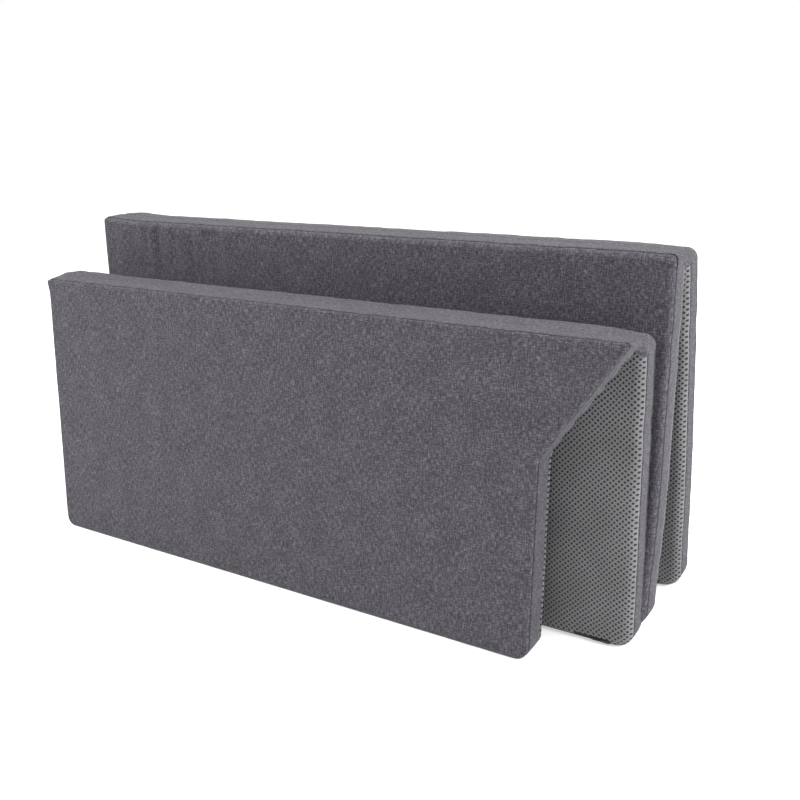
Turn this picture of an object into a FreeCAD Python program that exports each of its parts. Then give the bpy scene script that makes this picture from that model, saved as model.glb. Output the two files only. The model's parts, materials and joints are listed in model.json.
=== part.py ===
import FreeCAD, Part
import os
import Sketcher

# A four-panel folding foam mattress, folded in an accordion and stood on its long edges.
#
# The row's frame: X along the folds, Y from the front panel to the rear panel, Z up, and the origin in the
# middle of the footprint at floor level. Sizes are in millimetres and angles in degrees.
#
# Each panel is drawn in a frame of its own: X along the folds, Z up the panel with 0 at its folded top end,
# and Y through it with 0 on its base cloth. On panels 2 and 4 the panel's body is on the +Y side of that
# plane, and on panels 1 and 3 on the -Y side. The panel's placement then leans it over.

DRIVING_SIZES = {
    "fold_width": 1050,          # along the folds, the same on every panel
    "pad_thickness": 48,         # foam with both cloths
    "cloth": 1.5,                # every cover cloth
    "front_length": 452,         # panels 1 and 2, from fold to end
    "rear_length": 546,          # panels 3 and 4, from fold to end
    "cut_width": 115,            # how much panel 1's free end is narrowed
    "cut_length": 165,           # how far from the fold the narrowing runs
    "corner_round": 12,          # plan corners of every panel
    "sharp_round": 6,            # the pointed corner where the cut meets the fold
    "kink_round": 28,            # the inward bend at the end of the cut
    "fold_gap": 1.5,             # from a fold's axis to the faces that close on each other
    "fold_relief": 0.5,          # from the two top folds' axes to the panel ends
    "floor_relief": 0.3,         # the same at the fold on the floor
    "skew": 8,                   # how far the rear pair lies to the right of the front pair
    "lean_front": 5.4,           # panel 1, foot forward
    "lean_third": 3.4,           # panel 3, foot forward
    "lean_rear": 6.78,           # panel 4, foot back
    "front_to_middle": 76.575,   # from panel 2's base cloth back to the middle of the footprint
    "zip_width": 7,              # both tapes
    "zip_margin": 3,             # from the panel's foot to the zip
    "zip_end_gap": 30,           # from the panel's sides to the zip's ends
    "coil_width": 3.2,
    "coil_height": 0.7,
    "slider_length": 11,
    "slider_width": 8,
    "slider_height": 1.8,
    "slider_wall": 0.85,         # the plate over the coil
    "tab_length": 17,
    "tab_width": 5,
    "tab_hole": 1.3,             # radius of the hole in the pull tab
    "tape_width": 14,            # fold tape, on one panel
    "tape_thickness": 1.2,
    "bead_radius": 1.2,          # the sewn bead on the two top folds' axes
    "tape_end_gap": 14,          # from the panels' sides to the ends of the fold tapes
    "slider_park": 2,            # from the zip's end to its parked slider
    "slider_play": 0.4,          # on each side of the coil in the slider's channel
    "overcut": 10,               # how far the cutting solids run past what they cut
}

doc = FreeCAD.newDocument("folding_mattress")
sheet = doc.addObject("Spreadsheet::Sheet", "Sizes")
for row, (alias, value) in enumerate(DRIVING_SIZES.items(), start=1):
    sheet.set(f"A{row}", alias)
    sheet.set(f"B{row}", str(value))
    sheet.setAlias(f"B{row}", alias)
doc.recompute()


def size(alias):
    """The expression that reads one cell of the sheet."""
    return f"Sizes.{alias}"


HALF_WIDTH = f"{size('fold_width')} / 2"
PAD = size("pad_thickness")
CLOTH = size("cloth")
GAP = size("fold_gap")
RELIEF = size("fold_relief")
OVERCUT = size("overcut")
FLOOR_RELIEF = size("floor_relief")
LEAN_1 = size("lean_front")
LEAN_3 = size("lean_third")
LEAN_4 = size("lean_rear")

# The section through the folds, worked out from panel 2, which stands upright with its end on the floor.
# BASE is where each panel's folded top end meets its base cloth, and the three axes are the folds'.
BASE_2 = (f"(-{size('front_to_middle')})", size("front_length"))
FRONT_AXIS = (f"({BASE_2[0]} - {GAP})", f"({BASE_2[1]} + {RELIEF})")
BASE_1 = (
    f"({FRONT_AXIS[0]} - {RELIEF} * sin({LEAN_1}) - {GAP} * cos({LEAN_1}))",
    f"({FRONT_AXIS[1]} - {RELIEF} * cos({LEAN_1}) + {GAP} * sin({LEAN_1}))",
)
FLOOR_AXIS = (f"({BASE_2[0]} + {PAD} + {GAP})", f"(-{FLOOR_RELIEF})")
REACH_3 = f"({size('rear_length')} + {FLOOR_RELIEF})"
BASE_3 = (
    f"({FLOOR_AXIS[0]} + {REACH_3} * sin({LEAN_3}) + ({PAD} + {GAP}) * cos({LEAN_3}))",
    f"({FLOOR_AXIS[1]} + {REACH_3} * cos({LEAN_3}) - ({PAD} + {GAP}) * sin({LEAN_3}))",
)
REAR_AXIS = (
    f"({BASE_3[0]} + {RELIEF} * sin({LEAN_3}) + {GAP} * cos({LEAN_3}))",
    f"({BASE_3[1]} + {RELIEF} * cos({LEAN_3}) - {GAP} * sin({LEAN_3}))",
)
BASE_4 = (
    f"({REAR_AXIS[0]} + {RELIEF} * sin({LEAN_4}) + {GAP} * cos({LEAN_4}))",
    f"({REAR_AXIS[1]} - {RELIEF} * cos({LEAN_4}) + {GAP} * sin({LEAN_4}))",
)

# The soft folds let the rear pair lie a little to the right of the front pair.
LEFT_SHIFT = f"(-{size('skew')} / 2)"
RIGHT_SHIFT = f"({size('skew')} / 2)"

# Each panel: the side its body is on, its length, its base point, its turn about X and its shift along X.
PANELS = {
    1: {"side": -1, "length": size("front_length"), "base": BASE_1, "turn": f"-{LEAN_1}",
        "shift": LEFT_SHIFT, "cut": True},
    2: {"side": 1, "length": size("front_length"), "base": BASE_2, "turn": "0",
        "shift": LEFT_SHIFT, "cut": False},
    3: {"side": -1, "length": size("rear_length"), "base": BASE_3, "turn": f"-{LEAN_3}",
        "shift": RIGHT_SHIFT, "cut": False},
    4: {"side": 1, "length": size("rear_length"), "base": BASE_4, "turn": LEAN_4,
        "shift": RIGHT_SHIFT, "cut": False},
}
SMALL = 1e-4                     # for finding an edge at a known place

sub_parts = []


def place_on_panel(item, panel):
    """Lean a sub-part over with its panel."""
    turned = FreeCAD.Rotation(FreeCAD.Vector(1, 0, 0), 1)
    item.Placement = FreeCAD.Placement(FreeCAD.Vector(0, 0, 0), turned)
    item.setExpression("Placement.Rotation.Angle", panel["turn"])
    item.setExpression("Placement.Base.x", panel["shift"])
    item.setExpression("Placement.Base.y", panel["base"][0])
    item.setExpression("Placement.Base.z", panel["base"][1])


def finish_sub_part(item, label, panel):
    """Name a finished sub-part, place it, and keep it for the export."""
    item.Label = label
    place_on_panel(item, panel)
    sub_parts.append(item)


def origin_plane(body, role):
    """One of a body's own origin planes."""
    return next(feature for feature in body.Origin.OriginFeatures if feature.Role == role)


def polygon_sketch(body, name, plane, points):
    """A closed polygon whose corners are held to the origin by expressions (across, up)."""
    sketch = body.newObject("Sketcher::SketchObject", name)
    sketch.AttachmentSupport = [(origin_plane(body, plane), "")]
    sketch.MapMode = "FlatFace"
    values = [(sheet_value(across), sheet_value(up)) for across, up in points]
    count = len(points)
    for index in range(count):
        start = FreeCAD.Vector(*values[index], 0)
        end = FreeCAD.Vector(*values[(index + 1) % count], 0)
        sketch.addGeometry(Part.LineSegment(start, end), False)
    for index in range(count):
        constraint = Sketcher.Constraint("Coincident", index, 2, (index + 1) % count, 1)
        sketch.addConstraint(constraint)
    for index, (point, value) in enumerate(zip(points, values)):
        hold_corner(sketch, index, "DistanceX", point[0], value[0])
        hold_corner(sketch, index, "DistanceY", point[1], value[1])
    return sketch


def hold_corner(sketch, index, kind, expression, value):
    """Hold one coordinate of a line's start to the origin, measured so that the distance is positive."""
    if abs(value) < SMALL:
        axis = -2 if kind == "DistanceX" else -1
        sketch.addConstraint(Sketcher.Constraint("PointOnObject", index, 1, axis))
        return
    if value > 0:
        constraint = Sketcher.Constraint(kind, -1, 1, index, 1, value)
        bound = expression
    else:
        constraint = Sketcher.Constraint(kind, index, 1, -1, 1, -value)
        bound = f"-({expression})"
    number = sketch.addConstraint(constraint)
    sketch.setExpression(f"Constraints[{number}]", bound)


def sheet_value(expression):
    """The present value of an expression, for a sketch's first shape."""
    return float(doc.getObject("Sizes").evalExpression(expression))


def pad_from_plane(body, sketch, side, length):
    """Pad a sketch on the body's XZ plane towards +Y (side 1) or -Y (side -1)."""
    pad = body.newObject("PartDesign::Pad", f"{body.Name}_pad")
    pad.Profile = sketch
    pad.Reversed = side > 0
    pad.setExpression("Length", length)
    doc.recompute()
    return pad


def cut_along_x(body, name, points):
    """Take a prism along X, drawn on the YZ plane, off a body, and make sure that it took something."""
    before = body.Shape.Volume
    pocket = body.newObject("PartDesign::Pocket", name)
    pocket.Profile = polygon_sketch(body, f"{name}_section", "YZ_Plane", points)
    pocket.Midplane = True
    pocket.setExpression("Length", f"{size('fold_width')} + 2 * {OVERCUT}")
    doc.recompute()
    if body.Shape.Volume >= before:
        raise RuntimeError(f"{name} took nothing off {body.Name}")


def outline_points(panel, inset):
    """The panel's plan outline, drawn inwards by inset, anticlockwise from the folded end's left corner."""
    half = f"({HALF_WIDTH} - {inset})"
    foot = f"(-({panel['length']} - {inset}))"
    top = f"(-{inset})" if inset != "0" else "0"
    left = [(f"(-{half})", top), (f"(-{half})", foot)]
    if not panel["cut"]:
        return left + [(half, foot), (half, top)]
    width = size("cut_width")
    length = size("cut_length")
    slant = f"sqrt({width}^2 + {length}^2)"
    narrow = f"({HALF_WIDTH} - {width} - {inset})"
    kink = f"(-({length} - {inset} * ({slant} - {length}) / {width}))"
    point = f"({HALF_WIDTH} - {inset} * ({slant} + {width}) / {length})"
    return left + [(narrow, foot), (narrow, kink), (point, top)]


def corner_radii(panel, inset):
    """The rounding of each corner of the outline, in the same order as its points."""
    outer = f"{size('corner_round')} - {inset}"
    if not panel["cut"]:
        return [outer] * 4
    kink = f"{size('kink_round')} + {inset}"
    return [outer, outer, outer, kink, f"{size('sharp_round')} - {inset}"]


def edge_at(shape, across, up):
    """The name of the straight edge through the panel's thickness at one corner of its outline."""
    for number, edge in enumerate(shape.Edges, start=1):
        ends = [vertex.Point for vertex in edge.Vertexes]
        if all(abs(end.x - across) < SMALL and abs(end.z - up) < SMALL for end in ends):
            return f"Edge{number}"
    raise RuntimeError(f"no edge at {across}, {up}")


def foot_level(panel, depth, height):
    """Where the level plane at this height above the floor crosses the panel, at this depth through it."""
    turn = panel["turn"]
    return f"(-({panel['base'][1]} - {height} + ({depth}) * sin({turn})) / cos({turn}))"


def padded_block(name, panel, inset):
    """A block of the panel's full thickness on its outline, with rounded corners and, on panel 3, a foot
    trimmed level with the floor."""
    body = doc.addObject("PartDesign::Body", name)
    points = outline_points(panel, inset)
    sketch = polygon_sketch(body, f"{name}_outline", "XZ_Plane", points)
    pad = pad_from_plane(body, sketch, panel["side"], PAD)
    feature = pad
    for number, (point, radius) in enumerate(zip(points, corner_radii(panel, inset)), start=1):
        fillet = body.newObject("PartDesign::Fillet", f"{name}_corner_{number}")
        edge = edge_at(feature.Shape, sheet_value(point[0]), sheet_value(point[1]))
        fillet.Base = (feature, [edge])
        fillet.setExpression("Radius", radius)
        doc.recompute()
        feature = fillet
    if panel is PANELS[3]:
        front = f"(-{PAD} - {OVERCUT})"
        back = OVERCUT
        below = f"(-{panel['length']} - 2 * {OVERCUT})"
        cut_along_x(body, f"{name}_foot_cut", [
            (front, foot_level(panel, front, inset)),
            (back, foot_level(panel, back, inset)),
            (back, below),
            (front, below),
        ])
    return body


def slab(name, panel, start, depth):
    """A wide box that takes in everything from one depth through the panel to another."""
    box = doc.addObject("Part::Box", name)
    box.setExpression("Length", f"{size('fold_width')} + 2 * {OVERCUT}")
    box.setExpression("Height", f"{panel['length']} + 2 * {OVERCUT}")
    box.setExpression("Width", depth)
    box.setExpression("Placement.Base.x", f"-{HALF_WIDTH} - {OVERCUT}")
    box.setExpression("Placement.Base.z", f"-{panel['length']} - {OVERCUT}")
    if panel["side"] > 0:
        box.setExpression("Placement.Base.y", start)
    else:
        box.setExpression("Placement.Base.y", f"-({start}) - ({depth})")
    return box


def boolean(kind, name, first, second):
    """A cut, common or fuse of two objects."""
    result = doc.addObject(f"Part::{kind}", name)
    result.Base = first
    result.Tool = second
    return result


def foot_on_base(panel):
    """Where the panel's foot meets its base cloth."""
    if panel is PANELS[3]:
        return foot_level(panel, "0", "0")
    return f"(-{panel['length']})"


def zip_ends(panel):
    """The zip's left and right ends."""
    cut = size("cut_width") if panel["cut"] else "0"
    left = f"(-{HALF_WIDTH} + {size('zip_end_gap')})"
    right = f"({HALF_WIDTH} - {size('zip_end_gap')} - {cut})"
    return left, right


def zip_opening(number, panel):
    """The slot in the base cloth that the zip closes."""
    left, right = zip_ends(panel)
    box = doc.addObject("Part::Box", f"zip_opening_{number}")
    box.setExpression("Length", f"{right} - {left}")
    box.setExpression("Height", size("zip_width"))
    box.setExpression("Width", f"{CLOTH} + 2 * {OVERCUT}")
    box.setExpression("Placement.Base.x", left)
    box.setExpression("Placement.Base.z", f"{foot_on_base(panel)} + {size('zip_margin')}")
    box.setExpression("Placement.Base.y", f"-{OVERCUT}" if panel["side"] > 0 else f"-{CLOTH} - {OVERCUT}")
    return box


def make_pad_and_cover(number, panel):
    """The foam core, the two face cloths and the boxing that joins them."""
    envelope = padded_block(f"envelope_{number}", panel, "0")
    core = padded_block(f"core_{number}", panel, CLOTH)
    base_slab = slab(f"base_slab_{number}", panel, "0", CLOTH)
    core_slab = slab(f"core_slab_{number}", panel, CLOTH, f"{PAD} - 2 * {CLOTH}")
    top_slab = slab(f"top_slab_{number}", panel, f"{PAD} - {CLOTH}", CLOTH)

    foam = boolean("Common", f"foam_{number}", core, core_slab)
    finish_sub_part(foam, f"foam_core_{number}", panel)
    top = boolean("Common", f"top_{number}", envelope, top_slab)
    finish_sub_part(top, f"top_cover_{number}", panel)
    side_block = boolean("Common", f"side_block_{number}", envelope, core_slab)
    side = boolean("Cut", f"side_{number}", side_block, core)
    finish_sub_part(side, f"boxing_{number}", panel)
    base_cloth = boolean("Common", f"base_cloth_{number}", envelope, base_slab)
    base = boolean("Cut", f"base_{number}", base_cloth, zip_opening(number, panel))
    finish_sub_part(base, f"base_cover_{number}", panel)


def make_zip(number, panel):
    """The zip: both tapes with the coil as a low ridge on the outside, drawn in section."""
    left, right = zip_ends(panel)
    inward = "1" if panel["side"] > 0 else "-1"
    low = f"({foot_on_base(panel)} + {size('zip_margin')})"
    high = f"({low} + {size('zip_width')})"
    middle = f"({low} + {size('zip_width')} / 2)"
    half_coil = f"{size('coil_width')} / 2"
    crown = f"{size('coil_width')} / 4"
    proud = f"(-{inward} * {size('coil_height')})"
    deep = f"({inward} * {CLOTH})"
    body = doc.addObject("PartDesign::Body", f"zip_body_{number}")
    sketch = polygon_sketch(body, f"zip_section_{number}", "YZ_Plane", [
        ("0", low),
        (deep, low),
        (deep, high),
        ("0", high),
        ("0", f"{middle} + {half_coil}"),
        (proud, f"{middle} + {crown}"),
        (proud, f"{middle} - {crown}"),
        ("0", f"{middle} - {half_coil}"),
    ])
    sketch.setExpression("AttachmentOffset.Base.z", left)
    pad = body.newObject("PartDesign::Pad", f"zip_pad_{number}")
    pad.Profile = sketch
    pad.setExpression("Length", f"{right} - {left}")
    finish_sub_part(body, f"zip_{number}", panel)


def rectangle(left, low, right, high):
    """The corners of a rectangle."""
    return [(left, low), (left, high), (right, high), (right, low)]


def make_slider(number, panel):
    """The slider, parked at one end of the zip, with a channel for the coil and a flat pull tab."""
    left, right = zip_ends(panel)
    side = panel["side"]
    if side > 0:
        start = f"({right} - {size('slider_length')} - {size('slider_park')})"
        tab_start = f"({start} - {size('tab_length')})"
    else:
        start = f"({left} + {size('slider_park')})"
        tab_start = f"({start} + {size('slider_length')})"
    middle = f"({foot_on_base(panel)} + {size('zip_margin')} + {size('zip_width')} / 2)"
    half = f"{size('slider_width')} / 2"
    half_tab = f"{size('tab_width')} / 2"
    channel = f"({size('slider_height')} - {size('slider_wall')})"

    body = doc.addObject("PartDesign::Body", f"slider_body_{number}")
    outline = polygon_sketch(body, f"slider_outline_{number}", "XZ_Plane", rectangle(
        start, f"{middle} - {half}", f"{start} + {size('slider_length')}", f"{middle} + {half}"))
    pad = pad_from_plane(body, outline, -side, size("slider_height"))

    before = body.Shape.Volume
    groove = body.newObject("PartDesign::Pocket", f"slider_groove_{number}")
    groove.Profile = polygon_sketch(body, f"slider_groove_outline_{number}", "XZ_Plane", rectangle(
        f"{start} - {OVERCUT}", f"{middle} - {half_coil_room()}",
        f"{start} + {size('slider_length')} + {OVERCUT}", f"{middle} + {half_coil_room()}"))
    groove.Reversed = not pad.Reversed
    groove.setExpression("Length", channel)
    doc.recompute()
    if body.Shape.Volume >= before:
        raise RuntimeError(f"the groove took nothing off slider {number}")

    tab = polygon_sketch(body, f"tab_outline_{number}", "XZ_Plane", rectangle(
        tab_start, f"{middle} - {half_tab}", f"{tab_start} + {size('tab_length')}", f"{middle} + {half_tab}"))
    tab_middle = f"{tab_start} + {size('tab_length')} / 2"
    centre = FreeCAD.Vector(sheet_value(tab_middle), sheet_value(middle), 0)
    circle = Part.Circle(centre, FreeCAD.Vector(0, 0, 1), sheet_value(size("tab_hole")))
    hole = tab.addGeometry(circle, False)
    radius = tab.addConstraint(Sketcher.Constraint("Radius", hole, sheet_value(size("tab_hole"))))
    tab.setExpression(f"Constraints[{radius}]", size("tab_hole"))
    hold_centre(tab, hole, tab_middle, middle)
    tab.setExpression("AttachmentOffset.Base.z", f"{side} * {channel}")
    tab_pad = body.newObject("PartDesign::Pad", f"tab_pad_{number}")
    tab_pad.Profile = tab
    tab_pad.Reversed = pad.Reversed
    tab_pad.setExpression("Length", size("slider_wall"))
    finish_sub_part(body, f"zip_slider_{number}", panel)


def half_coil_room():
    """Half the width of the slider's channel, which clears the coil."""
    return f"({size('coil_width')} / 2 + {size('slider_play')})"


def hold_centre(sketch, circle, across, up):
    """Hold a circle's centre to the origin."""
    for kind, expression in (("DistanceX", across), ("DistanceY", up)):
        value = sheet_value(expression)
        if value > 0:
            number = sketch.addConstraint(Sketcher.Constraint(kind, -1, 1, circle, 3, value))
            sketch.setExpression(f"Constraints[{number}]", expression)
        else:
            number = sketch.addConstraint(Sketcher.Constraint(kind, circle, 3, -1, 1, -value))
            sketch.setExpression(f"Constraints[{number}]", f"-({expression})")


def tape_strip(name, near, low):
    """A flat strip along a fold, from one face depth outwards and from one height up."""
    box = doc.addObject("Part::Box", name)
    box.setExpression("Length", f"{size('fold_width')} - 2 * {size('tape_end_gap')}")
    box.setExpression("Width", size("tape_thickness"))
    box.setExpression("Height", size("tape_width"))
    box.setExpression("Placement.Base.x", f"-{HALF_WIDTH} + {size('tape_end_gap')}")
    box.setExpression("Placement.Base.y", near)
    box.setExpression("Placement.Base.z", low)
    return box


def make_top_fold_tape(label, panel):
    """The tape sewn to one panel's base cloth at a top fold, with a round bead on the fold's axis."""
    outward = -panel["side"]
    near = f"-{size('tape_thickness')}" if outward < 0 else "0"
    strip = tape_strip(f"{label}_strip", near, f"{RELIEF} - {size('tape_width')}")
    bead = doc.addObject("Part::Cylinder", f"{label}_bead")
    bead.setExpression("Radius", size("bead_radius"))
    bead.setExpression("Height", f"{size('fold_width')} - 2 * {size('tape_end_gap')}")
    lengthways = FreeCAD.Rotation(FreeCAD.Vector(0, 1, 0), 90)
    bead.Placement = FreeCAD.Placement(FreeCAD.Vector(0, 0, 0), lengthways)
    bead.setExpression("Placement.Base.x", f"-{HALF_WIDTH} + {size('tape_end_gap')}")
    bead.setExpression("Placement.Base.y", f"{outward} * {GAP}")
    bead.setExpression("Placement.Base.z", RELIEF)
    finish_sub_part(boolean("Fuse", f"{label}_sewn", strip, bead), label, panel)


def make_floor_fold_tape():
    """The tape sewn to panel 2's dark face at the fold on the floor."""
    strip = tape_strip("middle_fold_tape_strip", PAD, f"-{size('front_length')}")
    finish_sub_part(strip, "middle_fold_tape", PANELS[2])
    strip.setExpression("Placement.Base.x", f"{LEFT_SHIFT} - {HALF_WIDTH} + {size('tape_end_gap')}")
    strip.setExpression("Placement.Base.y", f"{BASE_2[0]} + {PAD}")
    strip.setExpression("Placement.Base.z", "0")


def check_document():
    """Stop if any object failed or any sub-part isn't one sound solid."""
    for item in doc.Objects:
        if "Invalid" in item.State or "Error" in item.State:
            raise RuntimeError(f"{item.Name} failed: {item.State}")
    for item in sub_parts:
        shape = item.Shape
        if shape.isNull() or not shape.isValid() or len(shape.Solids) != 1:
            raise RuntimeError(f"{item.Label} isn't one sound solid")


def export_sub_parts():
    """Write one STEP file for each sub-part and print its volume."""
    os.makedirs("parts", exist_ok=True)
    for item in sub_parts:
        item.Shape.exportStep(f"parts/{item.Label}.step")
        box = item.Shape.optimalBoundingBox(False, False)
        print(f"{item.Label}: {item.Shape.Volume / 1000:.1f} cm3, "
              f"y {box.YMin:.2f} to {box.YMax:.2f}, z {box.ZMin:.2f} to {box.ZMax:.2f}")
    for name, axis in (("front", FRONT_AXIS), ("floor", FLOOR_AXIS), ("rear", REAR_AXIS)):
        print(f"{name} fold axis: y {sheet_value(axis[0]):.4f}, z {sheet_value(axis[1]):.4f}")


for number, panel in PANELS.items():
    make_pad_and_cover(number, panel)
    make_zip(number, panel)
    make_slider(number, panel)
make_top_fold_tape("front_fold_tape", PANELS[2])
make_floor_fold_tape()
make_top_fold_tape("rear_fold_tape", PANELS[3])
doc.recompute()
check_document()
export_sub_parts()
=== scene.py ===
import bmesh
import bpy
import json
import math
import numpy as np
from mathutils import Matrix, Vector
from mathutils.bvhtree import BVHTree


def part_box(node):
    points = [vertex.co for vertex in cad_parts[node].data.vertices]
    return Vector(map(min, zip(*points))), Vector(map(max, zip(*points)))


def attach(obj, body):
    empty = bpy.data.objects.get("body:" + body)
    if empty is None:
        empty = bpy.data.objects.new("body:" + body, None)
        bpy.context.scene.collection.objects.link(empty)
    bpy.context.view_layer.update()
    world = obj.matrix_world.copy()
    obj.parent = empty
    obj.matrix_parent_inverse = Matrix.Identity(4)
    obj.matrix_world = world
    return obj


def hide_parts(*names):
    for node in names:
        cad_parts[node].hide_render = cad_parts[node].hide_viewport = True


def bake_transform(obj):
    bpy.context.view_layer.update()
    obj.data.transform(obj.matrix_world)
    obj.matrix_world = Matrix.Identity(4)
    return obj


# The looks of the folding mattress: padded panels in woven cloth, dotted base cloth, zips and fold webs.
# Lengths are in metres. A panel's own coordinates are across (along the folds), down (from its folded end
# towards its foot) and deep (from its base cloth towards its woven face).
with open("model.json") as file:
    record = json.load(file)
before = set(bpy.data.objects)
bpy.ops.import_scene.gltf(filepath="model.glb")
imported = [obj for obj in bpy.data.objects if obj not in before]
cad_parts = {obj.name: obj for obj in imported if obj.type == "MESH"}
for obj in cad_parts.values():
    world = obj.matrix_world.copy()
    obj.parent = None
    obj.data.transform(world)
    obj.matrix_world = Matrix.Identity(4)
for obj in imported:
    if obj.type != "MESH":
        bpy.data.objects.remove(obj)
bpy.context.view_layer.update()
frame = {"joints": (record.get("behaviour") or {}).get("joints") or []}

# ---------------------------------------------------------------- sizes shared with the CAD model
FOLD_GAP = 0.0015            # from a fold's axis to the faces that close on each other
TOP_RELIEF = 0.0005          # from the top folds' axes to the panel ends
FLOOR_RELIEF = 0.0003        # the same at the fold on the floor
CUT_WIDTH = 0.115            # panel 1's free end is this much narrower
CUT_LENGTH = 0.165           # and the narrowing runs this far from the fold

# ---------------------------------------------------------------- sizes of the cloth work
FACE_STEP = 0.0082           # mesh spacing on the faces before the subdivision
CORE_STEP = 0.02             # the same on the foam cores
EDGE_STEPS = (0, 0.0025, 0.0055, 0.009, 0.013, 0.0175, 0.0225, 0.028)   # finer spacing round the corners
BASE_CROWN = 0.0006          # how far the base cloth stands proud in the middle of a panel
SIDE_CAP = 0.0003            # how far the boxing may swell outwards
BASE_RELIEF = 0.35           # share of the woven face's relief that the base cloth has
RELIEF_EDGE = 0.003          # depth over which the relief starts at the turn of a face
FULL_SWELL = 85              # percentile of the simulated swelling that counts as full
SWELL_LOW, SWELL_HIGH = -0.3, 1.2        # the shares of a full swelling that a point may have
SHOULDER_SWELL = 0.5         # share of the swelling off the faces
SIDEWAYS_SHARE = 0.25        # share of the simulated move sideways that stays
SEAM_WAVE = 0.0005           # how far the seams wander in from a straight line
WAVE_IN = 1.2                # keeps that wander on the inner side
WAVE_REACH = 0.018           # and this is how far it fades into the faces
LONG_WAVE, SHORT_WAVE = 0.031, 0.012
SHORT_WAVE_SHARE = 0.6
WAVE_SEED = 811
GATHER = 0.0004              # height of the small gathers along the seams
GATHER_SIZES = (0.0085, 0.021)
GATHER_SHARE = 0.6
GATHER_TOP = 0.026           # how far the gathers run in from the folded end,
GATHER_FOOT = 0.022          # from the foot
GATHER_SIDE = 0.020          # and from both sides
SOFT_DENTS = ((0.00035, 0.120, 0.100), (0.00016, 0.034, 0.060))    # (height, size across, size down)
RIPPLE_SIZE = 0.013          # from one soft upright fold to the next
RIPPLE_REACH = 0.085         # how far the folds run down from the folded end
RIPPLE_START = 0.020         # where they begin
RIPPLE_LEAN = 0.09           # how much they lean over,
RIPPLE_DRIFT = 0.05          # each stretch of this width its own way
TIP_REACH = 0.035            # how far down a sunk far edge is felt
CLOTH_FRAMES = 20            # length of the simulation that blows the pads up
CORE_INSET = 0.0055          # from the outline to the foam
CORE_CUT_FROM = 0.38         # panel 1's core is narrowed again from here across, where its cut is,
CORE_CUT_REACH = 0.03        # in full this much further
BASE_PROUD = 0.0005          # the dotted cloth's outer skin over the pad
BASE_UNDER = 0.0002          # and its inner skin
FLOOR_SKIN = 0.0004          # cloth stays this far above the floor
FOOT_BEND = 0.09             # the stretch over which a foot bends down to it

# ---------------------------------------------------------------- colours (linear) and patterns
WOVEN_STOPS = ((0.38, (0.016, 0.015, 0.018)), (0.50, (0.045, 0.042, 0.050)), (0.62, (0.120, 0.113, 0.129)))
GROUND_STOPS = ((0.35, (0.084, 0.082, 0.085)), (0.65, (0.166, 0.163, 0.169)))
# the seams' colour: their dark thread, together with painted shade where their grooves sink in
SEAM_THREAD_AND_SHADE = (0.012, 0.012, 0.014)
DOT_COLOUR = (0.008, 0.0075, 0.009)
TAPE_STOPS = ((0.35, (0.006, 0.006, 0.007)), (0.65, (0.016, 0.016, 0.018)))
METAL_STOPS = ((0.45, (0.012, 0.012, 0.013)), (0.75, (0.07, 0.07, 0.072)))
FOAM_STOPS = ((0.3, (0.55, 0.52, 0.42)), (0.7, (0.78, 0.75, 0.64)))
SLUBS_DOWN = (540, 110)      # threads' thick places, in features per metre across and down
SLUBS_ACROSS = (150, 560)
GRAIN = (700, 700)
GRAIN_SHARE = 0.5
PATCH_SHARE = 0.2
GROUND_PATCHES = 0.25
THREAD_PITCH = 0.0009
DOT_PITCH = 0.0081           # between dots in one column; the next column is half a pitch away both ways
DOT_RADIUS = 0.0017
DOT_SOFT = 0.0007            # width of a dot's soft rim
DOT_WANDER = 0.0022          # how far the lattice strays

# ---------------------------------------------------------------- camera and light
CAMERA_PLACE = (0.87155, -1.21094, 0.76220)
CAMERA_TURN = (32.27, 18.33, -1.96)      # to the left, down and rolled, in degrees
CAMERA_LENS = 42.944
FLOOR_HALF = 30.0
ROOM_STRENGTH = 1.0
FLOOR_WHITE = 0.70
FLOOR_GLOW = 0.45            # the floor is lit from below as well, so that no shadow shows
LIGHTS = (
    ("right", (2.6, 0.1, 1.3), (0.4, 0, 0.25), (1.2, 1.6), 88),
    ("above", (0.2, 0.1, 3.0), (0, 0, 0.3), (2.4, 1.6), 68),
    ("front_left", (-1.9, -1.7, 1.8), (-0.2, 0, 0.3), (0.8, 0.8), 60),
)


def joint(name):
    """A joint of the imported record."""
    return next(item for item in frame["joints"] if item["name"] == name)


def closing_angle(name):
    """How far a fold has to turn from rest to close, in radians."""
    return math.radians(-joint(name)["range_deg"][0])


def section_point(name):
    """A fold's axis in the section plane (Y, Z)."""
    return np.array(joint(name)["pos_m"][1:])


LEAN_1 = closing_angle("front_fold")
LEAN_3 = closing_angle("middle_fold")
LEAN_4 = closing_angle("rear_fold") - LEAN_3
FRONT_AXIS = section_point("front_fold")
FLOOR_AXIS = section_point("middle_fold")
REAR_AXIS = section_point("rear_fold")

base_low, base_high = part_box("base_cover_2")
_, face_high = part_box("top_cover_2")
PAD = face_high.y - base_low.y
HALF_WIDTH = (base_high.x - base_low.x) / 2
FRONT_LENGTH = base_high.z
CENTRE_FRONT = (base_high.x + base_low.x) / 2
CENTRE_REAR = sum(corner.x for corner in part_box("top_cover_4")) / 2


def panel_frame(axis, lean, facing):
    """A panel's folded base corner and its down and deep directions in the section plane."""
    down = np.array([facing * math.sin(lean), -math.cos(lean)])
    deep = np.array([facing * math.cos(lean), math.sin(lean)])
    return axis + TOP_RELIEF * down + FOLD_GAP * deep, down, deep


UP_PANEL_3 = -panel_frame(REAR_AXIS, LEAN_3, -1)[1]
REAR_LENGTH = float((REAR_AXIS - FLOOR_AXIS) @ UP_PANEL_3) - TOP_RELIEF - FLOOR_RELIEF

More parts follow.
